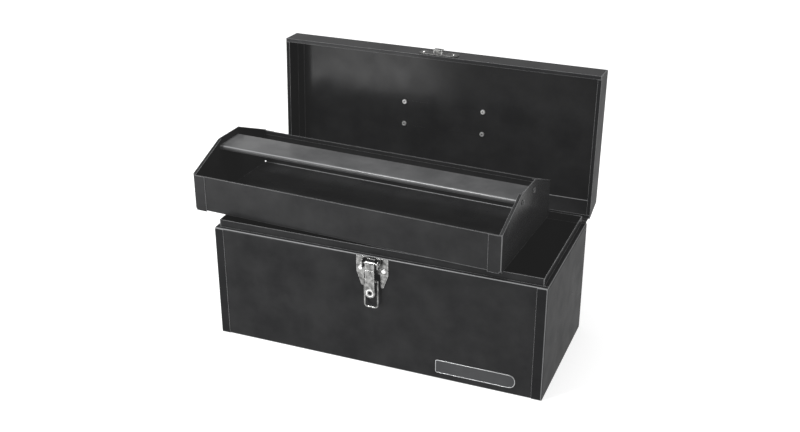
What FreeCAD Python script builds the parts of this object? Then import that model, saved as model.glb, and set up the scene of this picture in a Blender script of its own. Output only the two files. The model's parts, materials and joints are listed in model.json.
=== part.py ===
"""Metal tool box: folded steel base, hinged lid, draw latch, bail handle and lift-out tray.

Millimetres, +Z up, +X to the right seen from the front, the front facing -Y.
The origin is the centre of the base's underside.  The lid is built shut and then swung open,
and the tray is built at its own origin and then laid across the rim.
"""
import FreeCAD
import Part
import Sketcher
import os
import re

DIMENSIONS = (
    ("box_length", 406, "outside length"),
    ("box_depth", 178, "outside depth"),
    ("base_height", 143, "floor to the shoulder that the lid lands on"),
    ("lid_height", 32, "depth of the lid's walls"),
    ("lid_length", 404, "outside length of the lid"),
    ("lid_slant", 10, "lean of the lid's back wall"),
    ("gauge", 0.8, "sheet thickness"),
    ("bend", 2.5, "outside radius of a fold"),
    ("end_flange", 12, "end panel's wrap round the front and the back"),
    ("shoulder", 5.5, "width of the shoulder"),
    ("lip", 9, "upstand inside the shoulder"),
    ("lid_return", 4.5, "inward fold along the lid's free edge"),
    ("lid_flange", 9, "end cap's flange under the lid's top"),
    ("hinge_back", 6.5, "hinge axis behind the back face"),
    ("hinge_drop", 10, "hinge axis below the shoulder"),
    ("open_angle", 92.5, "degrees the lid swings from shut to its stop"),
    ("hinge_length", 400, "length of the piano hinge"),
    ("hinge_gauge", 1, "thickness of a hinge leaf"),
    ("leaf_height", 26, "height of a hinge leaf"),
    ("knuckle_count", 16, "knuckles on both leaves together"),
    ("knuckle_radius", 3, "outside radius of a knuckle"),
    ("knuckle_gap", 0.5, "gap between neighbouring knuckles"),
    ("leaf_lap", 16, "hinge leaf on the lid's back wall"),
    ("pin_radius", 1.5, "hinge and latch pins"),
    ("pin_clearance", 0.05, "radial clearance of every pin in its bore"),
    ("rest_height", 100, "top of the ledges that carry the stowed tray"),
    ("rest_length", 130, "length of a tray ledge"),
    ("rest_width", 12, "width of a tray ledge"),
    ("hardware_gauge", 1.2, "thickness of the plated hardware"),
    ("shank_radius", 2.2, "shank of a rivet"),
    ("head_radius", 3.3, "head of a rivet"),
    ("head_height", 1.5, "height of a rivet head"),
    ("bracket_spread", 52, "handle bracket from the middle of the lid"),
    ("bracket_width", 22, "bracket along the lid"),
    ("bracket_depth", 44, "bracket across the lid"),
    ("bracket_corner", 7, "corner radius of a bracket"),
    ("saddle_width", 16, "bracket's raised saddle"),
    ("bracket_rivets", 14.5, "bracket rivet from the pivot line"),
    ("handle_rise", 6, "handle pivot above the lid"),
    ("handle_offset", -2, "handle pivot behind the middle of the lid"),
    ("handle_wire", 3, "radius of the handle rod"),
    ("handle_half", 68, "handle leg from the middle of the lid"),
    ("handle_reach", 40, "pivot to the middle of the grip"),
    ("handle_corner", 10, "bend radius of the handle rod"),
    ("grip_radius", 6.5, "radius of the grip"),
    ("grip_length", 96, "length of the grip"),
    ("grip_edge", 1.5, "rounding of the grip's ends"),
    ("keeper_length", 48, "keeper plate"),
    ("keeper_height", 14, "keeper plate"),
    ("keeper_rise", 3, "keeper plate above the lid's free edge"),
    ("keeper_rivets", 19, "keeper rivet from the middle"),
    ("hook_width", 10.6, "keeper hook"),
    ("hook_reach", 5.8, "keeper hook in front of its plate"),
    ("hook_height", 6.8, "keeper hook's upturned lip"),
    ("keeper_corner", 4, "corner radius of the keeper"),
    ("hook_edge", 0.5, "rounding of the hook's edges"),
    ("latch_half", 19.5, "half the width of the latch plate"),
    ("latch_rise", 5.5, "top of the latch plate above the lever pivot"),
    ("latch_cheek", 14, "widest part of the latch plate, below the lever pivot"),
    ("latch_tail", 31, "tips of the latch plate, below the lever pivot"),
    ("latch_rivet_inset", 5.5, "latch rivet from the edge of the plate"),
    ("latch_rivet_drop", 9, "latch rivet below the lever pivot"),
    ("ear_side", 9.5, "ear of the latch plate from the middle"),
    ("ear_reach", 9.3, "ear in front of the front panel"),
    ("ear_height", 11, "height of an ear"),
    ("ear_drop", 6, "lower edge of an ear below the lever pivot"),
    ("ear_corner", 3, "corner radius of an ear"),
    ("crest_half", 5, "half the width of the plate's turned-out top"),
    ("crest_reach", 4, "turned-out top in front of the front panel"),
    ("latch_drop", 6.5, "lever pivot below the shoulder"),
    ("latch_reach", 5, "lever pivot in front of the front face"),
    ("lever_half", 5.4, "half the width of the lever's tongue"),
    ("lever_gauge", 1.5, "thickness of the lever"),
    ("barrel_radius", 3.2, "lever barrel"),
    ("bead_radius", 0.9, "raised bead across the lever"),
    ("bead_drop", 8, "bead below the lever pivot"),
    ("rib_height", 3, "rib from the lever to its curl"),
    ("eye_drop", 36, "padlock eye below the lever pivot"),
    ("eye_radius", 6, "outside of the padlock eye"),
    ("eye_hole", 2.4, "hole of the padlock eye"),
    ("bail_drop", 21.5, "bail pivot below the lever pivot"),
    ("bail_inset", 1.3, "bail pivot behind the lever pivot"),
    ("bail_wire", 1.1, "radius of the bail wire"),
    ("bail_half", 8, "bail leg from the middle"),
    ("bail_length", 34.5, "bail pivot to its crossbar"),
    ("bail_corner", 4, "bend radius of the bail"),
    ("bail_gap", 0.3, "gap beside the lever's curl"),
    ("pin_head", 1, "pin head beyond the pin's radius"),
    ("tray_length", 390, "outside length of the tray"),
    ("tray_depth", 163, "outside depth of the tray"),
    ("tray_wall", 45, "height of the tray's long walls"),
    ("tray_top", 61.4, "height of the tray's carrying strip"),
    ("tray_flange", 16, "tray end's wrap round the long walls"),
    ("tray_hem", 5, "height of the folded hem"),
    ("strip_half", 19, "curl centre from the middle of the tray"),
    ("curl_radius", 3.2, "outside radius of a curled edge"),
    ("peak_half", 22.5, "half the width of the notch that takes the strip"),
    ("peak_height", 70, "flat top of a tray end"),
    ("tray_fold", 3, "inward fold along the sloping top of a tray end"),
    ("corner_relief", 2.4, "cut-out at each lower corner of the tray"),
    ("curl_reach", 1, "curled edge sticking out of the tray end"),
    ("tray_shift_left", 39.4, "middle of the propped tray, left of the box's middle"),
    ("tray_shift_back", 1, "middle of the propped tray, behind the box's middle"),
    ("tray_yaw", 3.06, "degrees that the propped tray is turned clockwise from above"),
    ("badge_length", 95, "blank badge"),
    ("badge_height", 17, "blank badge"),
    ("badge_gauge", 0.5, "blank badge"),
    ("badge_side", 124.5, "badge to the right of the middle"),
    ("badge_level", 8.7, "lower edge of the badge"),
    ("badge_corner", 2, "corner radius of the badge's left end"),
    ("badge_round", 7.5, "corner radius of the badge's right end"),
)
NAMES = {name for name, _, _ in DIMENSIONS}

doc = FreeCAD.newDocument("tool_box")
sheet = doc.addObject("Spreadsheet::Sheet", "Dimensions")

HINGE_Y = "(box_depth/2 + hinge_back)"
HINGE_Z = "(base_height - hinge_drop)"
LID_TOP = "(base_height + lid_height)"
FRONT = "(-box_depth/2 + gauge)"
LEVER_Y = "(-box_depth/2 - latch_reach)"
LEVER_Z = "(base_height - latch_drop)"
BAIL_Y = "(-box_depth/2 - latch_reach + bail_inset)"
BAIL_Z = "(base_height - latch_drop - bail_drop)"


def fill_sheet():
    for row, (name, size, meaning) in enumerate(DIMENSIONS, start=1):
        sheet.set("A%d" % row, name)
        sheet.set("B%d" % row, str(size))
        sheet.set("C%d" % row, meaning)
        sheet.setAlias("B%d" % row, name)
    doc.recompute()


def size_of(name):
    return float(getattr(sheet, name))


def formula(text):
    """Point every dimension named in text at its cell."""
    def cell(match):
        word = match.group()
        return "Dimensions." + word if word in NAMES else word
    return re.sub(r"[a-z_]+", cell, str(text))


def bind(item, **formulas):
    for key, text in formulas.items():
        item.setExpression(key, formula(text))


def place(item, spot):
    for key, text in zip("xyz", spot):
        item.setExpression("Placement.Base." + key, formula(text))


def block(name, size, spot):
    """A box with its middle at spot in X and Y, and its underside at spot's Z."""
    item = doc.addObject("Part::Box", name)
    bind(item, Length=size[0], Width=size[1], Height=size[2])
    place(item, ("%s - (%s)/2" % (spot[0], size[0]), "%s - (%s)/2" % (spot[1], size[1]), spot[2]))
    return item


TURNS = {"x": (FreeCAD.Vector(0, 1, 0), 90),
         "y": (FreeCAD.Vector(1, 0, 0), -90),
         "z": (FreeCAD.Vector(0, 0, 1), 0)}


def rod(name, radius, length, middle, along):
    """A cylinder whose middle is at middle and whose axis runs along x, y or z."""
    item = doc.addObject("Part::Cylinder", name)
    bind(item, Radius=radius, Height=length)
    item.Placement.Rotation = FreeCAD.Rotation(*TURNS[along])
    place(item, ["%s - (%s)/2" % (at, length) if key == along else at for key, at in zip("xyz", middle)])
    return item


def cone(name, low_radius, high_radius, height, base, turn):
    """A rivet head standing on base, turned by (axis, degrees) from +Z."""
    item = doc.addObject("Part::Cone", name)
    bind(item, Radius1=low_radius, Radius2=high_radius, Height=height)
    item.Placement.Rotation = FreeCAD.Rotation(*turn)
    place(item, base)
    return item


def elbow(name, radius, wire, middle, turn):
    """A quarter ring of round wire about middle, turned by a rotation."""
    item = doc.addObject("Part::Torus", name)
    bind(item, Radius1=radius, Radius2=wire)
    item.Angle3 = 90
    item.Placement.Rotation = turn
    place(item, middle)
    return item


def ball(name, radius, middle):
    item = doc.addObject("Part::Sphere", name)
    bind(item, Radius=radius)
    place(item, middle)
    return item


def fuse(name, parts):
    item = doc.addObject("Part::MultiFuse", name)
    item.Shapes = parts
    return item


def cut(name, base, tool):
    item = doc.addObject("Part::Cut", name)
    item.Base = base
    item.Tool = tool
    return item


def rounded(name, item, radius, chosen):
    """Fillet the edges of item for which chosen(middle, direction) is true."""
    doc.recompute()
    edges = []
    for number, edge in enumerate(item.Shape.Edges, start=1):
        start, end = edge.Vertexes[0].Point, edge.Vertexes[-1].Point
        across = end - start
        direction = across / across.Length if across.Length else across
        if chosen((start + end) / 2, direction):
            edges.append((number, radius, radius))
    result = doc.addObject("Part::Fillet", name)
    result.Base = item
    result.Edges = edges
    return result


def profile(name, plane, corners, thickness):
    """A plate padded from a closed outline, each coordinate of which is a formula."""
    body = doc.addObject("PartDesign::Body", name)
    sketch = body.newObject("Sketcher::SketchObject", name + "_outline")
    support = [face for face in body.Origin.OriginFeatures if face.Role == plane][0]
    sketch.AttachmentSupport = (support, [""])
    sketch.MapMode = "FlatFace"
    count = len(corners)
    start = [FreeCAD.Rotation(FreeCAD.Vector(0, 0, 1), 360 * i / count).multVec(FreeCAD.Vector(50, 0, 0))
             for i in range(count)]
    for i in range(count):
        sketch.addGeometry(Part.LineSegment(start[i], start[(i + 1) % count]), False)
    for i in range(count):
        sketch.addConstraint(Sketcher.Constraint("Coincident", i, 2, (i + 1) % count, 1))
    for i, corner in enumerate(corners):
        for kind, first, text in zip(("DistanceX", "DistanceY"), start[i], corner):
            index = sketch.addConstraint(Sketcher.Constraint(kind, -1, 1, i, 1, first))
            sketch.setExpression("Constraints[%d]" % index, formula(text))
    pad = body.newObject("PartDesign::Pad", name + "_pad")
    pad.Profile = sketch
    bind(pad, Length=thickness)
    body.Tip = pad
    return body


def along_x(middle, direction):
    return abs(direction.x) > 0.99


def along_y(middle, direction):
    return abs(direction.y) > 0.99


def along_z(middle, direction):
    return abs(direction.z) > 0.99


def finish(item, label):
    item.Label = label
    return item


def swing_open(item):
    """Turn a lid piece about the hinge axis, from shut to its stop."""
    item.Placement.Rotation = FreeCAD.Rotation(FreeCAD.Vector(-1, 0, 0), size_of("open_angle"))
    turned_y = "(%s*cos(open_angle) + %s*sin(open_angle))" % (HINGE_Y, HINGE_Z)
    turned_z = "(%s*cos(open_angle) - %s*sin(open_angle))" % (HINGE_Z, HINGE_Y)
    place(item, ("0", "%s - %s" % (HINGE_Y, turned_y), "%s - %s" % (HINGE_Z, turned_z)))
    return item


def lay_on_rim(item):
    """Put a tray piece where the propped tray lies, on top of the lip."""
    item.Placement.Rotation = FreeCAD.Rotation(FreeCAD.Vector(0, 0, -1), size_of("tray_yaw"))
    place(item, ("-tray_shift_left", "tray_shift_back", "base_height + lip"))
    return item


def folded_channel(name, length, depth, height, level, close_top):
    """Front, floor and back in one folded sheet; with close_top, a top skin as well."""
    outer = block(name + "_outer", (length, depth, height), ("0", "0", level))
    outer = rounded(name + "_outer_folds", outer, size_of("bend"),
                    lambda m, d: along_x(m, d) and (close_top or m.z < 0.001))
    inner_height = "%s - 2*gauge" % height if close_top else height
    inner = block(name + "_inner", (length + " + 2", depth + " - 2*gauge", inner_height),
                  ("0", "0", level + " + gauge"))
    floor_level = size_of("gauge") + 0.001
    inner = rounded(name + "_inner_folds", inner, size_of("bend") - size_of("gauge"),
                    lambda m, d: along_x(m, d) and (close_top or m.z < floor_level))
    return cut(name + "_fold", outer, inner)


# ---------------------------------------------------------------- base

def base_wrapper(ends):
    """Floor, front, back and both long shoulders, trimmed to the folds of the end panels."""
    folded = folded_channel("wrapper", "box_length - 2*gauge", "box_depth - 2*gauge", "base_height",
                            "0", True)
    mouth = block("wrapper_mouth", ("box_length", "box_depth - 2*shoulder", "3*gauge"),
                  ("0", "0", "base_height - 2*gauge"))
    lips = [block("wrapper_lip_%s" % end, ("box_length - 2*shoulder - 2*gauge", "gauge", "lip + gauge"),
                  ("0", "%d*(box_depth/2 - shoulder - gauge/2)" % side, "base_height - gauge"))
            for end, side in (("front", -1), ("back", 1))]
    body = cut("wrapper_open", folded, mouth)
    whole = cut("wrapper_trimmed", fuse("wrapper_with_lips", [body] + lips), fuse("both_ends", ends))
    return finish(cut("base_wrapper", whole, latch_shanks()), "base_wrapper")


def end_panel(label, side):
    half = size_of("box_length") / 2
    outer = block(label + "_outer", ("end_flange", "box_depth", "base_height"),
                  ("%d*(box_length/2 - end_flange/2)" % side, "0", "0"))

    def outside(middle, direction):
        at_end = abs(abs(middle.x) - half) < 0.001
        on_floor = middle.z < 0.001
        return (along_x(middle, direction)) or (at_end and not on_floor)

    outer = rounded(label + "_outer_folds", outer, size_of("bend"), outside)
    inner = block(label + "_inner", ("end_flange", "box_depth - 2*gauge", "base_height - gauge + 2"),
                  ("%d*(box_length/2 - gauge - end_flange/2)" % side, "0", "-2"))
    inner_end = half - size_of("gauge")
    inner = rounded(label + "_inner_folds", inner, size_of("bend") - size_of("gauge"),
                    lambda m, d: along_z(m, d) and abs(abs(m.x) - inner_end) < 0.001)
    pan = cut(label + "_pan", outer, inner)
    clear = block(label + "_clear", ("end_flange", "box_depth - 2*gauge", "3*gauge"),
                  ("%d*(box_length/2 - gauge - end_flange/2)" % side, "0", "base_height - 2*gauge"))
    rim = cut(label + "_rim", pan, clear)
    ledge = block(label + "_shoulder", ("shoulder - gauge", "box_depth - 2*shoulder", "gauge"),
                  ("%d*(box_length/2 - gauge/2 - shoulder/2)" % side, "0", "base_height - gauge"))
    upstand = block(label + "_lip", ("gauge", "box_depth - 2*shoulder", "lip + gauge"),
                    ("%d*(box_length/2 - shoulder - gauge/2)" % side, "0", "base_height - gauge"))
    return finish(fuse(label, [rim, ledge, upstand]), label)


def tray_rest(label, side):
    """An angle spot-welded inside an end panel: the stowed tray stands on its ledge."""
    upright = block(label + "_upright", ("gauge", "rest_length", "rest_width"),
                    ("%d*(box_length/2 - 1.5*gauge)" % side, "0", "rest_height - rest_width"))
    ledge = block(label + "_ledge", ("rest_width", "rest_length", "gauge"),
                  ("%d*(box_length/2 - gauge - rest_width/2)" % side, "0", "rest_height - gauge"))
    return finish(fuse(label, [upright, ledge]), label)


def badge():
    plate = block("badge_plate", ("badge_length", "badge_gauge", "badge_height"),
                  ("badge_side", FRONT + " - badge_gauge/2", "badge_level"))
    middle = size_of("badge_side")
    left = rounded("badge_left", plate, size_of("badge_corner"), lambda m, d: along_y(m, d) and m.x < middle)
    right = rounded("front_badge", left, size_of("badge_round"), lambda m, d: along_y(m, d) and m.x > middle)
    return finish(right, "front_badge")


# ---------------------------------------------------------------- piano hinge

def knuckle_middles(first):
    """X of every second knuckle, counted from first."""
    count = int(size_of("knuckle_count"))
    return ["(hinge_length/knuckle_count*%.1f)" % (i + 0.5 - count / 2) for i in range(first, count, 2)]


def hinge_leaf(label, first, plate, web_low):
    """One leaf: its plate, and a web and a knuckle at every second place."""
    width = "hinge_length/knuckle_count - knuckle_gap"
    reach = "(hinge_back - hinge_gauge/2)"
    web_y = "(%s - %s/2)" % (HINGE_Y, reach)
    parts = [plate]
    for i, x in enumerate(knuckle_middles(first)):
        parts.append(block("%s_web_%d" % (label, i), (width, reach, "hinge_gauge"), (x, web_y, web_low)))
        parts.append(rod("%s_knuckle_%d" % (label, i), "knuckle_radius", width, (x, HINGE_Y, HINGE_Z), "x"))
    bore = rod(label + "_bore", "pin_radius + pin_clearance", "hinge_length + 2",
               ("0", HINGE_Y, HINGE_Z), "x")
    return finish(cut(label, fuse(label + "_solid", parts), bore), label)


def hinge():
    low = "(%s - knuckle_radius)" % HINGE_Z
    high = "(%s + knuckle_radius - hinge_gauge)" % HINGE_Z
    flat = block("leaf_on_base", ("hinge_length", "hinge_gauge", "leaf_height"),
                 ("0", "box_depth/2 + hinge_gauge/2", "%s + hinge_gauge - leaf_height" % low))
    lower = hinge_leaf("hinge_leaf_base", 0, flat, low)
    lean = "box_depth/2 - lid_slant*leaf_lap/lid_height"
    wall = [("box_depth/2", high), ("box_depth/2", "base_height"), (lean, "base_height + leaf_lap")]
    back = [("%s + hinge_gauge" % y, z) for y, z in reversed(wall)]
    bent = profile("leaf_on_lid", "YZ_Plane", wall + back, "hinge_length")
    place(bent, ("-hinge_length/2", "0", "0"))
    upper = hinge_leaf("hinge_leaf_lid", 1, bent, high)
    pin = rod("hinge_pin", "pin_radius", "hinge_length", ("0", HINGE_Y, HINGE_Z), "x")
    return [lower, swing_open(upper), finish(pin, "hinge_pin")]


# ---------------------------------------------------------------- lid

def bracket_shanks():
    """Shanks of the four rivets that hold the handle brackets; also the tool for their holes."""
    if doc.getObject("bracket_shanks"):
        return doc.getObject("bracket_shanks")
    shanks = []
    for i, (side, row) in enumerate(((-1, -1), (-1, 1), (1, -1), (1, 1))):
        spot = ("%d*bracket_spread" % side, "handle_offset + %d*bracket_rivets" % row, LID_TOP)
        shanks.append(rod("bracket_shank_%d" % i, "shank_radius", "2*(gauge + hardware_gauge)", spot, "z"))
    return fuse("bracket_shanks", shanks)


def keeper_shanks():
    if doc.getObject("keeper_shanks"):
        return doc.getObject("keeper_shanks")
    level = "base_height + keeper_rise + keeper_height/2"
    shanks = [rod("keeper_shank_%d" % (side + 1), "shank_radius", "2*(gauge + hardware_gauge)",
                  ("%d*keeper_rivets" % side, "-box_depth/2", level), "y") for side in (-1, 1)]
    return fuse("keeper_shanks", shanks)


def lid_outline():
    """Outside of the lid's cross-section, from the front free edge round to the back one."""
    return [("-box_depth/2", "base_height"), ("-box_depth/2", LID_TOP),
            ("box_depth/2 - lid_slant", LID_TOP), ("box_depth/2", "base_height")]


def lid_shell():
    """Front, top and leaning back in one sheet, with a narrow return along each free edge."""
    floor = "base_height + gauge"
    ceiling = LID_TOP + " - gauge"
    lean = "lid_slant*gauge/lid_height"
    inside = [("box_depth/2 - lid_return", "base_height"), ("box_depth/2 - lid_return", floor),
              ("box_depth/2 - gauge - " + lean, floor),
              ("box_depth/2 - lid_slant - gauge + " + lean, ceiling),
              ("-box_depth/2 + gauge", ceiling), ("-box_depth/2 + gauge", floor),
              ("-box_depth/2 + lid_return", floor), ("-box_depth/2 + lid_return", "base_height")]
    sheet_metal = profile("lid_sheet", "YZ_Plane", lid_outline() + inside, "lid_length - 2*gauge")
    place(sheet_metal, ("-lid_length/2 + gauge", "0", "0"))
    top = size_of("base_height") + size_of("lid_height")
    outer = rounded("lid_outer_folds", sheet_metal, size_of("bend"),
                    lambda m, d: along_x(m, d) and m.z > top - 0.001)
    under = top - size_of("gauge")
    folded = rounded("lid_inner_folds", outer, size_of("bend") - size_of("gauge"),
                     lambda m, d: along_x(m, d) and abs(m.z - under) < 0.001)
    drilled = cut("lid_drilled", folded, bracket_shanks())
    return swing_open(finish(cut("lid_shell", drilled, keeper_shanks()), "lid_shell"))


def lid_end(label, side):
    plate = profile(label + "_plate", "YZ_Plane", lid_outline(), "gauge")
    place(plate, ("%d*(lid_length/2 - gauge/2) - gauge/2" % side, "0", "0"))
    floor = size_of("base_height") + 0.001
    plate = rounded(label + "_corners", plate, size_of("bend"), lambda m, d: along_x(m, d) and m.z > floor)
    flange = block(label + "_flange", ("lid_flange", "box_depth - lid_slant - 4*bend", "gauge"),
                   ("%d*(lid_length/2 - gauge - lid_flange/2)" % side, "-lid_slant/2",
                    LID_TOP + " - 2*gauge"))
    fold = block(label + "_return", ("lid_return - gauge", "box_depth - 2*lid_return", "gauge"),
                 ("%d*(lid_length/2 - gauge/2 - lid_return/2)" % side, "0", "base_height"))
    return swing_open(finish(fuse(label, [plate, flange, fold]), label))


def handle_bracket(label, side):
    x = "%d*bracket_spread" % side
    plate = block(label + "_plate", ("bracket_width", "bracket_depth", "hardware_gauge"),
                  (x, "handle_offset", LID_TOP))
    plate = rounded(label + "_corners", plate, size_of("bracket_corner"), along_z)
    saddle = block(label + "_saddle", ("saddle_width", "2*(handle_wire + hardware_gauge)", "handle_rise"),
                   (x, "handle_offset", LID_TOP))
    pivot = (x, "handle_offset", LID_TOP + " + handle_rise")
    barrel = rod(label + "_barrel", "handle_wire + hardware_gauge", "saddle_width", pivot, "x")
    bore = rod(label + "_bore", "handle_wire + pin_clearance", "bracket_width", pivot, "x")
    solid = cut(label + "_bored", fuse(label + "_solid", [plate, saddle, barrel]), bore)
    return swing_open(finish(cut(label, solid, bracket_shanks()), label))


UP = (FreeCAD.Vector(1, 0, 0), 0)
DOWN = (FreeCAD.Vector(1, 0, 0), 180)
FORWARD = (FreeCAD.Vector(1, 0, 0), 90)
BACKWARD = (FreeCAD.Vector(1, 0, 0), -90)


def bracket_rivets():
    """Domed outside; inside the lid each ends in a hollow collar."""
    parts = [bracket_shanks()]
    hollows = []
    for i, (side, row) in enumerate(((-1, -1), (-1, 1), (1, -1), (1, 1))):
        x, y = "%d*bracket_spread" % side, "handle_offset + %d*bracket_rivets" % row
        parts.append(cone("bracket_head_%d" % i, "head_radius", "shank_radius", "head_height",
                          (x, y, LID_TOP + " + hardware_gauge"), UP))
        parts.append(cone("bracket_collar_%d" % i, "head_radius", "(head_radius + shank_radius)/2",
                          "head_height", (x, y, LID_TOP + " - gauge"), DOWN))
        hollows.append(rod("bracket_hollow_%d" % i, "shank_radius/2", "2*head_height",
                           (x, y, LID_TOP + " - gauge - head_height - gauge"), "z"))
    rivets = cut("bracket_rivets", fuse("bracket_rivets_solid", parts), fuse("bracket_hollows", hollows))
    return swing_open(finish(rivets, "bracket_rivets"))


def keeper():
    level = "base_height + keeper_rise"
    face = "(-box_depth/2 - hardware_gauge)"
    plate = block("keeper_plate", ("keeper_length", "hardware_gauge", "keeper_height"),
                  ("0", "-box_depth/2 - hardware_gauge/2", level))
    plate = rounded("keeper_corners", plate, size_of("keeper_corner"), along_y)
    ledge = block("keeper_ledge", ("hook_width", "hook_reach", "hardware_gauge"),
                  ("0", face + " - hook_reach/2", level + " + hardware_gauge"))
    nose = block("keeper_nose", ("hook_width", "hardware_gauge", "hook_height"),
                 ("0", face + " - hook_reach + hardware_gauge/2", level + " + hardware_gauge"))
    hook = rounded("keeper_hook", fuse("keeper_bent", [ledge, nose]), size_of("hook_edge"), along_x)
    solid = fuse("keeper_solid", [plate, hook])
    return swing_open(finish(cut("keeper", solid, keeper_shanks()), "keeper"))


def keeper_rivets():
    level = "base_height + keeper_rise + keeper_height/2"
    parts = [keeper_shanks()]
    for side in (-1, 1):
        x = "%d*keeper_rivets" % side
        for name, y, facing in (("head", "-box_depth/2 - hardware_gauge", FORWARD),
                                ("tail", "-box_depth/2 + gauge", BACKWARD)):
            parts.append(cone("keeper_%s_%d" % (name, side + 1), "head_radius", "shank_radius",
                              "head_height", (x, y, level), facing))
    return swing_open(finish(fuse("keeper_rivets", parts), "keeper_rivets"))


# ---------------------------------------------------------------- lid handle

def hang_on_lid(item):
    """Put a handle piece, built hanging from the origin, at its pivot on the open lid."""
    across = "(handle_offset - %s)" % HINGE_Y
    above = "(%s + handle_rise - %s)" % (LID_TOP, HINGE_Z)
    place(item, ("0", "%s + %s*cos(open_angle) + %s*sin(open_angle)" % (HINGE_Y, across, above),
                 "%s + %s*cos(open_angle) - %s*sin(open_angle)" % (HINGE_Z, above, across)))
    return item


def wire_loop(prefix, wire, half, length, corner, y, z):
    """Two legs hanging from (y, z) and joined by a rounded crossbar."""
    low = "%s - %s" % (z, length)
    parts = [rod(prefix + "_cross", wire, "2*(%s - %s)" % (half, corner), ("0", y, low), "x")]
    straight = "(%s - %s)" % (length, corner)
    lying = FreeCAD.Rotation(FreeCAD.Vector(1, 0, 0), -90)
    quarter = FreeCAD.Rotation(FreeCAD.Vector(0, 0, 1), 90)
    for name, side, bend in (("left", -1, lying.multiply(quarter)), ("right", 1, lying)):
        x = "%d*%s" % (side, half)
        parts.append(ball("%s_knee_%s" % (prefix, name), wire, (x, y, z)))
        parts.append(rod("%s_leg_%s" % (prefix, name), wire, straight,
                         (x, y, "%s - %s/2" % (z, straight)), "z"))
        parts.append(elbow("%s_bend_%s" % (prefix, name), corner, wire,
                           ("%d*(%s - %s)" % (side, half, corner), y, "%s - %s" % (z, straight)), bend))
    return parts


def handle_rod():
    parts = wire_loop("handle", "handle_wire", "handle_half", "handle_reach", "handle_corner", "0", "0")
    inner_end = "(bracket_spread - saddle_width/2)"
    stub = "(handle_half - %s)" % inner_end
    for side in (-1, 1):
        parts.append(rod("handle_stub_%d" % (side + 1), "handle_wire", stub,
                         ("%d*(%s + %s/2)" % (side, inner_end, stub), "0", "0"), "x"))
    return hang_on_lid(finish(fuse("handle_rod", parts), "handle_rod"))


def handle_grip():
    sleeve = rod("grip_sleeve", "grip_radius", "grip_length", ("0", "0", "-handle_reach"), "x")
    end = size_of("grip_length") / 2
    sleeve = rounded("grip_round", sleeve, size_of("grip_edge"), lambda m, d: abs(abs(m.x) - end) < 0.001)
    bore = rod("grip_bore", "handle_wire", "grip_length + 2", ("0", "0", "-handle_reach"), "x")
    return hang_on_lid(finish(cut("handle_grip", sleeve, bore), "handle_grip"))


# ---------------------------------------------------------------- draw latch

def latch_rivet_spots(y):
    return [("%d*(latch_half - latch_rivet_inset)" % side, y, LEVER_Z + " - latch_rivet_drop")
            for side in (-1, 1)]


def latch_shanks():
    if doc.getObject("latch_shanks"):
        return doc.getObject("latch_shanks")
    shanks = [rod("latch_shank_%d" % i, "shank_radius", "2*(gauge + hardware_gauge)", spot, "y")
              for i, spot in enumerate(latch_rivet_spots(FRONT))]
    return fuse("latch_shanks", shanks)


def latch_back():
    """The flat of the latch plate: two cheeks that narrow into tails, open between the tails."""
    top, low, tail = [LEVER_Z + text for text in (" + latch_rise", " - latch_cheek", " - latch_tail")]
    right = [("latch_half", top), ("latch_half", low), ("latch_half*0.69", tail), ("latch_half*0.54", tail),
             ("latch_half*0.49", low)]
    left = [("-(%s)" % x, z) for x, z in reversed(right)]
    plate = profile("latch_back", "XZ_Plane", right + left, "hardware_gauge")
    place(plate, ("0", FRONT, "0"))
    return plate


def latch_plate():
    """The flat, two ears for the lever pin, and a crest turned out between them."""
    crest = block("latch_crest", ("2*crest_half", "crest_reach", "hardware_gauge"),
                  ("0", FRONT + " - crest_reach/2", LEVER_Z + " + latch_rise - hardware_gauge"))
    parts = [latch_back(), crest]
    front = -size_of("box_depth") / 2
    for side in (-1, 1):
        ear = block("latch_ear_%d" % (side + 1), ("hardware_gauge", "ear_reach", "ear_height"),
                    ("%d*ear_side" % side, FRONT + " - ear_reach/2", LEVER_Z + " - ear_drop"))
        parts.append(rounded("latch_ear_round_%d" % (side + 1), ear, size_of("ear_corner"),
                             lambda m, d: along_x(m, d) and m.y < front))
    bore = rod("latch_bore", "pin_radius", "2*latch_half", ("0", LEVER_Y, LEVER_Z), "x")
    solid = cut("latch_bored", fuse("latch_solid", parts), bore)
    return finish(cut("latch_plate", solid, latch_shanks()), "latch_plate")


def latch_rivets():
    parts = [latch_shanks()]
    for name, y, facing in (("head", " - hardware_gauge", FORWARD), ("tail", " + gauge", BACKWARD)):
        for i, spot in enumerate(latch_rivet_spots(FRONT + y)):
            parts.append(cone("latch_%s_%d" % (name, i), "head_radius", "shank_radius", "head_height",
                              spot, facing))
    return finish(fuse("latch_rivets", parts), "latch_rivets")


def latch_pin():
    parts = [rod("latch_pin_shaft", "pin_radius", "2*ear_side + 3*hardware_gauge",
                 ("0", LEVER_Y, LEVER_Z), "x")]
    for side in (-1, 1):
        parts.append(rod("latch_pin_head_%d" % (side + 1), "pin_radius + pin_head", "hardware_gauge",
                         ("%d*(ear_side + hardware_gauge)" % side, LEVER_Y, LEVER_Z), "x"))
    return finish(fuse("latch_pin", parts), "latch_pin")


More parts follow.
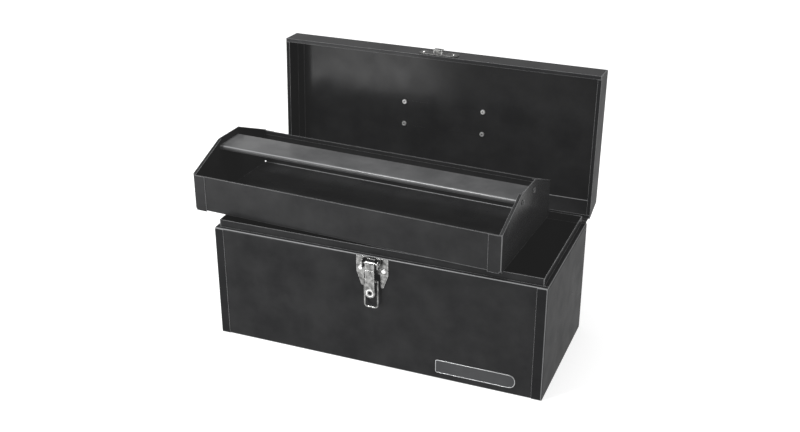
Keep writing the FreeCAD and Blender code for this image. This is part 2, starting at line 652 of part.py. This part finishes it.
def latch_lever():
    face = "(%s - barrel_radius + lever_gauge/2)" % LEVER_Y
    eye_z = LEVER_Z + " - eye_drop"
    reach = "(barrel_radius + bail_inset)"
    solid = fuse("lever_solid", [
        block("lever_tongue", ("2*lever_half", "lever_gauge", "eye_drop"), ("0", face, eye_z)),
        rod("lever_eye", "eye_radius", "lever_gauge", ("0", face, eye_z), "y"),
        rod("lever_barrel", "barrel_radius", "2*lever_half", ("0", LEVER_Y, LEVER_Z), "x"),
        rod("lever_bead", "bead_radius", "2*lever_half", ("0", face + " - lever_gauge/2",
                                                          LEVER_Z + " - bead_drop"), "x"),
        block("lever_rib", ("2*lever_half", reach, "rib_height"),
              ("0", "%s - %s/2" % (BAIL_Y, reach), BAIL_Z + " - rib_height/2")),
        rod("lever_curl", "2*bail_wire", "2*(bail_half - bail_wire - bail_gap)",
            ("0", BAIL_Y, BAIL_Z), "x")])
    bores = fuse("lever_bores", [
        rod("lever_pin_bore", "pin_radius + pin_clearance", "4*lever_half", ("0", LEVER_Y, LEVER_Z), "x"),
        rod("lever_bail_bore", "bail_wire + pin_clearance", "4*bail_half", ("0", BAIL_Y, BAIL_Z), "x"),
        rod("lever_eye_bore", "eye_hole", "4*lever_gauge", ("0", face, eye_z), "y")])
    return finish(cut("latch_lever", solid, bores), "latch_lever")


def latch_bail():
    """A closed wire loop; its two ends meet inside the lever's curl."""
    parts = wire_loop("bail", "bail_wire", "bail_half", "bail_length", "bail_corner", BAIL_Y, BAIL_Z)
    parts.append(rod("bail_pivot", "bail_wire", "2*bail_half", ("0", BAIL_Y, BAIL_Z), "x"))
    return finish(fuse("latch_bail", parts), "latch_bail")


# ---------------------------------------------------------------- tray

def corner_reliefs():
    """Small cut-outs at the tray's lower corners, where three folds meet."""
    if doc.getObject("corner_reliefs"):
        return doc.getObject("corner_reliefs")
    size = ("2*corner_relief", "2*corner_relief", "corner_relief")
    cubes = [block("relief_%d_%d" % (side + 1, row + 1), size,
                   ("%d*tray_length/2" % side, "%d*tray_depth/2" % row, "0"))
             for side in (-1, 1) for row in (-1, 1)]
    return fuse("corner_reliefs", cubes)


def curls(radius, name):
    """Both curled edges of the carrying strip, as full rods of the given radius."""
    return [rod("%s_%d" % (name, row + 1), radius, "tray_length + 2*curl_reach",
                ("0", "%d*strip_half" % row, "tray_top - curl_radius"), "x") for row in (-1, 1)]


def tray_trough():
    folded = folded_channel("trough", "tray_length - 2*gauge", "tray_depth - 2*gauge", "tray_wall",
                            "0", False)
    hems = [block("trough_hem_%d" % (side + 1), ("tray_length - 2*gauge", "gauge", "tray_hem"),
                  ("0", "%d*(tray_depth/2 - 2.5*gauge)" % side, "tray_wall - tray_hem"))
            for side in (-1, 1)]
    whole = fuse("trough_with_hems", [folded] + hems)
    return lay_on_rim(finish(cut("tray_trough", whole, corner_reliefs()), "tray_trough"))


def tray_end(label, side):
    """House-shaped end plate, folded inward along its slopes, with flanges round the long walls."""
    half = [("tray_depth/2", "0"), ("tray_depth/2", "tray_wall + gauge"), ("peak_half", "peak_height")]
    plate = profile(label + "_plate", "YZ_Plane", half + [("-(%s)" % y, z) for y, z in reversed(half)],
                    "gauge")
    place(plate, ("%d*(tray_length/2 - gauge/2) - gauge/2" % side, "0", "0"))
    parts = [plate]
    for row, name in ((-1, "front"), (1, "back")):
        parts.append(block("%s_wrap_%s" % (label, name), ("tray_flange - gauge", "gauge", "tray_wall"),
                           ("%d*(tray_length/2 - gauge/2 - tray_flange/2)" % side,
                            "%d*(tray_depth/2 - gauge/2)" % row, "0")))
        rim, peak = "%d*tray_depth/2" % row, "%d*peak_half" % row
        slope = [(rim, "tray_wall + gauge"), (peak, "peak_height"), (peak, "peak_height - gauge"),
                 (rim, "tray_wall")]
        fold = profile("%s_slope_%s" % (label, name), "YZ_Plane", slope, "tray_fold")
        place(fold, ("%d*(tray_length/2 - gauge - tray_fold/2) - tray_fold/2" % side, "0", "0"))
        parts.append(fold)
    corners = size_of("tray_length") / 2
    solid = rounded(label + "_corners", fuse(label + "_solid", parts), size_of("corner_relief"),
                    lambda m, d: along_z(m, d) and abs(abs(m.x) - corners) < 0.001)
    whole = cut(label + "_relieved", solid, corner_reliefs())
    holes = fuse(label + "_holes", curls("curl_radius", label + "_hole"))
    return lay_on_rim(finish(cut(label, whole, holes), label))


def tray_strip():
    """Carrying strip: both long edges are curled under and pass through the tray ends."""
    flat = block("strip_flat", ("tray_length - 2*gauge", "2*strip_half", "gauge"),
                 ("0", "0", "tray_top - gauge"))
    solid = fuse("strip_solid", [flat] + curls("curl_radius", "strip_curl"))
    bores = fuse("strip_bores", curls("curl_radius - gauge", "strip_bore"))
    return lay_on_rim(finish(cut("tray_strip", solid, bores), "tray_strip"))


def build():
    ends = [end_panel("end_panel_left", -1), end_panel("end_panel_right", 1)]
    nodes = ends + [base_wrapper(ends), tray_rest("tray_rest_left", -1), tray_rest("tray_rest_right", 1),
                    badge()]
    nodes += hinge()
    nodes += [lid_shell(), lid_end("lid_end_left", -1), lid_end("lid_end_right", 1),
              handle_bracket("handle_bracket_left", -1), handle_bracket("handle_bracket_right", 1),
              bracket_rivets(), keeper(), keeper_rivets(), handle_rod(), handle_grip()]
    nodes += [latch_plate(), latch_rivets(), latch_pin(), latch_lever(), latch_bail()]
    nodes += [tray_trough(), tray_end("tray_end_left", -1), tray_end("tray_end_right", 1), tray_strip()]
    return nodes


def export(nodes):
    doc.recompute()
    for item in doc.Objects:
        if {"Invalid", "Error"} & set(item.State):
            raise RuntimeError("%s: %s" % (item.Name, item.State))
    os.makedirs("parts", exist_ok=True)
    for node in nodes:
        if node.Shape.isNull() or not node.Shape.isValid():
            raise RuntimeError("%s has no valid shape" % node.Label)
        node.Shape.exportStep("parts/%s.step" % node.Label)


fill_sheet()
export(build())
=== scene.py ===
"""Looks of the metal tool box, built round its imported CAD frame.  Metres, +Z up, front facing -Y."""
import json
import math

import bmesh
import bpy
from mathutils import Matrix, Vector


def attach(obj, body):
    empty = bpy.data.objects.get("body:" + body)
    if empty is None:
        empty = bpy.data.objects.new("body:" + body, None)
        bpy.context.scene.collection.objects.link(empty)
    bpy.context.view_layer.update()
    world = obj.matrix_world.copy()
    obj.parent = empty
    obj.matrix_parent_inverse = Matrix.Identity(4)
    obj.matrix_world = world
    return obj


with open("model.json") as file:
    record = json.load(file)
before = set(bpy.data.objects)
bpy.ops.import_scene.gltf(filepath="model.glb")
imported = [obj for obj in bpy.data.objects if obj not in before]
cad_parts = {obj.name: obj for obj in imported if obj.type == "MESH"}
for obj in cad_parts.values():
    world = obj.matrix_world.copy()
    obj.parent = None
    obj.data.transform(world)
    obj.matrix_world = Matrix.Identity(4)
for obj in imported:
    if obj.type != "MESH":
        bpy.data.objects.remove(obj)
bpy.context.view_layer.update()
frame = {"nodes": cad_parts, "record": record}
nodes = frame["nodes"]

# ---------------------------------------------------------------- camera

CAMERA_AZIMUTH = math.radians(21.78)
CAMERA_ELEVATION = math.radians(25.52)
CAMERA_DISTANCE = 1.366
CAMERA_LENS = 51.98
CAMERA_TARGET = Vector((-0.00195, 0.0, 0.15398))
SENSOR_WIDTH = 36.0


def add_camera():
    back = Vector((math.sin(CAMERA_AZIMUTH) * math.cos(CAMERA_ELEVATION),
                   -math.cos(CAMERA_AZIMUTH) * math.cos(CAMERA_ELEVATION),
                   math.sin(CAMERA_ELEVATION)))
    camera = bpy.data.objects.new("camera", bpy.data.cameras.new("camera"))
    bpy.context.scene.collection.objects.link(camera)
    camera.location = CAMERA_TARGET + back * CAMERA_DISTANCE
    camera.rotation_mode = "QUATERNION"
    camera.rotation_quaternion = (-back).to_track_quat("-Z", "Y")
    camera.data.lens = CAMERA_LENS
    camera.data.sensor_width = SENSOR_WIDTH
    bpy.context.scene.camera = camera


# ---------------------------------------------------------------- materials

# Painted highlight on edges and folds: the width, samples and lean limits of the masks that paint it.
HIGHLIGHT_WIDTH = 0.0009
HIGHLIGHT_SAMPLES = 6
EDGE_HIGHLIGHT_LEAN = (0.985, 0.85)  # cosines of the lean between normals: no painted highlight, then full painted highlight
FOLD_HIGHLIGHT_LEAN = (0.93, 0.76)  # the normal's largest part: flat, then the middle of a fold
# How far the painted corner shade reaches.
CREVICE_REACH = 0.005
# Painted highlight colour for enamel edges and folds.
ENAMEL_EDGE_HIGHLIGHT = (0.22, 0.222, 0.225)
# Painted highlight colour for plating edges.
PLATING_EDGE_HIGHLIGHT = (0.62, 0.62, 0.61)
# Painted shade colour for plating corners.
CORNER_SHADE = (0.02, 0.02, 0.02)


class Shader:
    """A material's node tree, with short ways to add and join nodes."""

    def __init__(self, name):
        self.material = bpy.data.materials.new(name)
        self.material.use_nodes = True
        self.tree = self.material.node_tree
        self.surface = self.tree.nodes["Principled BSDF"]

    def node(self, kind, **sockets):
        made = self.tree.nodes.new(kind)
        for key, value in sockets.items():
            made.inputs[key.replace("_", " ")].default_value = value
        return made

    def join(self, source, target):
        self.tree.links.new(source, target)

    def set(self, **sockets):
        for key, value in sockets.items():
            self.surface.inputs[key.replace("_", " ")].default_value = value

    def coordinates(self):
        return self.node("ShaderNodeTexCoord").outputs["Object"]

    def noise(self, scale, detail=3.0, roughness=0.5):
        made = self.node("ShaderNodeTexNoise", Scale=scale, Detail=detail, Roughness=roughness)
        self.join(self.coordinates(), made.inputs["Vector"])
        return made.outputs["Fac"]

    def ramp(self, source, low, high, low_value=0.0, high_value=1.0):
        """Map low..high of the source to the two values, and hold it there beyond them."""
        made = self.node("ShaderNodeMapRange")
        for index, value in ((1, low), (2, high), (3, low_value), (4, high_value)):
            made.inputs[index].default_value = value
        self.join(source, made.inputs[0])
        return made.outputs[0]

    def tint(self, source, dark, light):
        """Mix two colours, each of them three numbers or another node's output."""
        made = self.node("ShaderNodeMix")
        made.data_type = "RGBA"
        for index, colour in ((6, dark), (7, light)):
            if isinstance(colour, tuple):
                made.inputs[index].default_value = (*colour, 1.0)
            else:
                self.join(colour, made.inputs[index])
        self.join(source, made.inputs[0])
        return made.outputs[2]

    def larger(self, first, second):
        made = self.node("ShaderNodeMath")
        made.operation = "MAXIMUM"
        self.join(first, made.inputs[0])
        self.join(second, made.inputs[1])
        return made.outputs[0]

    def painted_edge_highlight(self):
        """A mask for painted highlights: 1 along sharp edges and 0 on flats, from how far a rounded
        normal leans from the true one.
        """
        rounded = self.node("ShaderNodeBevel", Radius=HIGHLIGHT_WIDTH)
        rounded.samples = HIGHLIGHT_SAMPLES
        lean = self.node("ShaderNodeVectorMath")
        lean.operation = "DOT_PRODUCT"
        self.join(rounded.outputs["Normal"], lean.inputs[0])
        self.join(self.node("ShaderNodeNewGeometry").outputs["Normal"], lean.inputs[1])
        return self.ramp(lean.outputs["Value"], *EDGE_HIGHLIGHT_LEAN)

    def painted_fold_highlight(self):
        """A mask for painted highlights: 1 on folds and 0 on flats; the piece's flats face along its
        axes and its folds don't.
        """
        size = self.node("ShaderNodeVectorMath")
        size.operation = "ABSOLUTE"
        self.join(self.node("ShaderNodeTexCoord").outputs["Normal"], size.inputs[0])
        parts = self.node("ShaderNodeSeparateXYZ")
        self.join(size.outputs["Vector"], parts.inputs[0])
        across = self.larger(parts.outputs["X"], parts.outputs["Y"])
        return self.ramp(self.larger(across, parts.outputs["Z"]), *FOLD_HIGHLIGHT_LEAN)

    def painted_corner_shade(self):
        """A mask for painted shade: 0 deep in corners and 1 on open faces."""
        made = self.node("ShaderNodeAmbientOcclusion", Distance=CREVICE_REACH)
        return self.ramp(made.outputs["AO"], 0.35, 0.95)

    def bump(self, height, strength, distance):
        made = self.node("ShaderNodeBump", Strength=strength, Distance=distance)
        self.join(height, made.inputs["Height"])
        self.join(made.outputs["Normal"], self.surface.inputs["Normal"])


def enamel(name, dark, light, roughness=0.2, gloss=0.065):
    """Baked enamel on sheet steel: clouded colour and gloss, and painted highlights as bright lines
    along its edges and folds.
    """
    shader = Shader(name)
    shader.set(Metallic=0.0, IOR=1.5, Specular_IOR_Level=gloss)
    cloud = shader.ramp(shader.noise(22.0, 5.0, 0.6), 0.35, 0.65)
    # Painted highlight: edges and folds are mixed towards a light colour.
    highlight_mask = shader.larger(shader.painted_edge_highlight(), shader.painted_fold_highlight())
    shader.join(shader.tint(highlight_mask, shader.tint(cloud, dark, light), ENAMEL_EDGE_HIGHLIGHT),
                shader.surface.inputs["Base Color"])
    fine = shader.noise(40.0, 3.0)
    shader.join(shader.ramp(fine, 0.3, 0.7, roughness - 0.03, roughness + 0.04),
                shader.surface.inputs["Roughness"])
    shader.bump(shader.noise(700.0, 2.0), 0.04, 0.0003)
    return shader.material


def plating(name, dark, light, roughness=0.26):
    """Zinc plating: mottled, with painted shade in its corners and painted highlights along its edges.
    """
    shader = Shader(name)
    shader.set(Metallic=1.0)
    cloud = shader.ramp(shader.noise(260.0, 4.0), 0.35, 0.65)
    # Painted shade: corners are mixed towards a near-black colour.
    plain = shader.tint(shader.painted_corner_shade(), CORNER_SHADE, shader.tint(cloud, dark, light))
    # Painted highlight: edges are mixed towards a near-white colour.
    shader.join(shader.tint(shader.painted_edge_highlight(), plain, PLATING_EDGE_HIGHLIGHT), shader.surface.inputs["Base Color"])
    shader.join(shader.ramp(shader.noise(700.0, 3.0), 0.3, 0.7, roughness - 0.08, roughness + 0.12),
                shader.surface.inputs["Roughness"])
    shader.bump(shader.noise(1500.0, 2.0), 0.15, 0.0003)
    return shader.material


def moulded(name, colour):
    """Fine-grained moulded plastic."""
    shader = Shader(name)
    shader.set(Roughness=0.42, Specular_IOR_Level=0.45)
    shader.join(shader.tint(shader.noise(40.0), colour, tuple(c * 1.5 for c in colour)),
                shader.surface.inputs["Base Color"])
    shader.bump(shader.noise(1800.0, 1.0), 0.2, 0.0003)
    return shader.material


MATERIALS = {
    "enamel": enamel("black_enamel", (0.005, 0.0052, 0.0058), (0.014, 0.0142, 0.0148)),
    "tray_enamel": enamel("tray_black_enamel", (0.010, 0.0102, 0.0108), (0.020, 0.0202, 0.0208)),
    "hinge_steel": enamel("hinge_enamel", (0.010, 0.0102, 0.0105), (0.015, 0.0152, 0.016), 0.38),
    "plated_steel": plating("bright_plating", (0.09, 0.09, 0.089), (0.30, 0.30, 0.294)),
    "grip": moulded("black_moulded_grip", (0.012, 0.012, 0.0125)),
    "badge": enamel("blank_badge_field", (0.020, 0.021, 0.023), (0.030, 0.031, 0.033), 0.3, 0.3),
}
# Painted shade: the box and lid ends get a darker, less glossy copy of the enamel, so the sides read
# darker.
SHADED_END_ENAMEL = enamel("shaded_end_enamel", (0.006, 0.0062, 0.0068), (0.011, 0.0112, 0.0118), 0.3, 0.01)
# Painted light: the handle strip's enamel is several times lighter than the box's, standing in for the
# top light on its level face.
TOP_LIT_STRIP_ENAMEL = enamel("top_lit_strip_enamel", (0.065, 0.0655, 0.067), (0.10, 0.1005, 0.102), 0.22, 0.25)
# Partly painted highlight: rivet heads and the eye bead get a much lighter copy of the plating, bright
# metal lightened further for the highlights on their domes.
BRIGHT_RIVET_PLATING = plating("bright_rivet_plating", (0.75, 0.75, 0.74), (0.92, 0.92, 0.91), 0.5)
SPECIAL = {
    # Painted shade: the keeper gets a darker copy of the plating.
    "keeper": plating("shaded_keeper_plating", (0.03, 0.03, 0.0295), (0.14, 0.14, 0.137), 0.34),
    "tray_strip": TOP_LIT_STRIP_ENAMEL,
    "end_panel_left": SHADED_END_ENAMEL,
    "end_panel_right": SHADED_END_ENAMEL,
    "lid_end_left": SHADED_END_ENAMEL,
    "lid_end_right": SHADED_END_ENAMEL,
    "bracket_rivets": BRIGHT_RIVET_PLATING,
    "latch_rivets": BRIGHT_RIVET_PLATING,
}
BADGE_RIM = plating("blank_badge_rim", (0.42, 0.43, 0.44), (0.52, 0.53, 0.54), 0.36)


WELD_REACH = 0.000004
EDGE_RADIUS = 0.00022
EDGE_ANGLE = math.radians(35)
FULL_WEIGHT = 100


def dress_nodes():
    """Give every CAD node its material and a small real edge radius."""
    slots = {row["node"]: row["material_slot"] for row in frame["record"]["subparts"]}
    for name, item in nodes.items():
        item.data.materials.clear()
        item.data.materials.append(SPECIAL.get(name, MATERIALS[slots[name]]))
        weld = item.modifiers.new("weld", "WELD")
        weld.merge_threshold = WELD_REACH
        bevel = item.modifiers.new("edge", "BEVEL")
        bevel.width = EDGE_RADIUS
        bevel.segments = 2
        bevel.limit_method = "ANGLE"
        bevel.angle_limit = EDGE_ANGLE
        normals = item.modifiers.new("flat_sheets", "WEIGHTED_NORMAL")
        normals.mode = "FACE_AREA"
        normals.weight = FULL_WEIGHT
        for polygon in item.data.polygons:
            polygon.use_smooth = True


# ---------------------------------------------------------------- small raised trim

RIM_RADIUS = 0.0004
BADGE_CORNERS = (0.002, 0.0075)  # radii at the left and right ends
CORNER_STEPS = 8
EYE_RISE = 0.0007
EYE_MEAN_RADIUS = 0.0041
EYE_OUTER_RADIUS = 0.006
EYE_SINK = 0.0011  # from the lever's foremost point back to the eye's face
EYE_STEPS = 40


def node_box(name):
    """The low and high corners of a CAD node as it stands."""
    corners = [nodes[name].matrix_world @ Vector(corner) for corner in nodes[name].bound_box]
    return (Vector(min(corner[axis] for corner in corners) for axis in range(3)),
            Vector(max(corner[axis] for corner in corners) for axis in range(3)))


def raised_bead(name, points, y, radius, material, body):
    """A closed round bead in an upright plane through y, along points of x and z."""
    curve = bpy.data.curves.new(name, "CURVE")
    curve.dimensions = "3D"
    curve.bevel_depth = radius
    curve.bevel_resolution = 3
    spline = curve.splines.new("POLY")
    spline.points.add(len(points) - 1)
    for point, (x, z) in zip(spline.points, points):
        point.co = (x, y, z, 1.0)
    spline.use_cyclic_u = True
    curve.materials.append(material)
    bead = bpy.data.objects.new(name, curve)
    bpy.context.scene.collection.objects.link(bead)
    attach(bead, body)


def arc(x, z, radius, start, turn, steps):
    """Points of x and z round a centre, from the start angle through turn, in degrees."""
    angles = [math.radians(start + turn * step / steps) for step in range(steps + 1)]
    return [(x + radius * math.cos(angle), z + radius * math.sin(angle)) for angle in angles]


def add_badge_rim():
    """A plain bright rim round the blank badge, with larger corners at its right end."""
    low, high = node_box("front_badge")
    small, large = BADGE_CORNERS
    left, right = low.x + RIM_RADIUS, high.x - RIM_RADIUS
    bottom, top = low.z + RIM_RADIUS, high.z - RIM_RADIUS
    points = (arc(left + small, bottom + small, small, 180, 90, CORNER_STEPS)
              + arc(right - large, bottom + large, large, 270, 90, CORNER_STEPS)
              + arc(right - large, top - large, large, 0, 90, CORNER_STEPS)
              + arc(left + small, top - small, small, 90, 90, CORNER_STEPS))
    raised_bead("badge_rim", points, low.y, RIM_RADIUS, BADGE_RIM, "box")


def add_eye_bead():
    """The bright bead pressed round the padlock eye at the foot of the lever; its lighter plating is
    partly painted highlight.
    """
    low = node_box("latch_lever")[0]
    points = arc(0.0, low.z + EYE_OUTER_RADIUS, EYE_MEAN_RADIUS, 0, 360, EYE_STEPS)[:-1]
    raised_bead("eye_bead", points, low.y + EYE_SINK, EYE_RISE, BRIGHT_RIVET_PLATING, "latch_lever")


# ---------------------------------------------------------------- stage

FLOOR_HALF = 6.0
FLOOR_DROP = 0.0001
FLOOR_GLOW = 0.7
LIT_CENTRE = (0.0, 0.0, 0.15)


def add_floor():
    """A pale floor with a glow of its own, so that it stays white next to the box."""
    mesh = bpy.data.meshes.new("floor")
    form = bmesh.new()
    bmesh.ops.create_grid(form, x_segments=1, y_segments=1, size=FLOOR_HALF)
    form.to_mesh(mesh)
    form.free()
    floor = bpy.data.objects.new("floor", mesh)
    floor.location.z = -FLOOR_DROP
    bpy.context.scene.collection.objects.link(floor)
    shader = Shader("pale_floor")
    shader.set(Roughness=0.9, Specular_IOR_Level=0.1, Emission_Color=(1.0, 1.0, 1.0, 1.0),
               Emission_Strength=FLOOR_GLOW)
    shader.join(shader.tint(shader.noise(3.0), (0.58, 0.58, 0.58), (0.61, 0.61, 0.61)),
                shader.surface.inputs["Base Color"])
    floor.data.materials.append(shader.material)


def add_panel(name, place, target, size, power):
    """A soft box: an area lamp at place facing target."""
    lamp = bpy.data.lights.new(name, "AREA")
    lamp.shape = "RECTANGLE"
    lamp.size, lamp.size_y = size
    lamp.energy = power
    item = bpy.data.objects.new(name, lamp)
    item.location = place
    item.rotation_mode = "QUATERNION"
    item.rotation_quaternion = (Vector(target) - Vector(place)).to_track_quat("-Z", "Y")
    bpy.context.scene.collection.objects.link(item)


def add_lights():
    """Even white surroundings, a wide top box, one for bright folds and one for the lid's gloss."""
    world = bpy.data.worlds.new("studio")
    bpy.context.scene.world = world
    world.use_nodes = True
    background = world.node_tree.nodes["Background"]
    background.inputs["Color"].default_value = (1.0, 1.0, 1.0, 1.0)
    background.inputs["Strength"].default_value = 0.45
    add_panel("top_box", (0.1, 0.1, 1.9), LIT_CENTRE, (1.6, 1.2), 10.0)
    add_panel("edge_box", (-0.6, -0.78, 1.66), LIT_CENTRE, (0.4, 0.4), 26.0)
    add_panel("low_box", (-0.44, -0.62, 0.05), (-0.1, 0.138, 0.29), (0.28, 0.18), 2.3)


BLACK_LIFT = 0.014


def colour_management():
    """Standard view, with the deepest shadows lifted to a dark grey."""
    view = bpy.context.scene.view_settings
    view.view_transform = "Standard"
    view.look = "None"
    view.use_curve_mapping = True
    view.curve_mapping.curves[3].points[0].location = (0.0, BLACK_LIFT)
    view.curve_mapping.update()


add_camera()
dress_nodes()
add_badge_rim()
add_eye_bead()
add_floor()
add_lights()
colour_management()
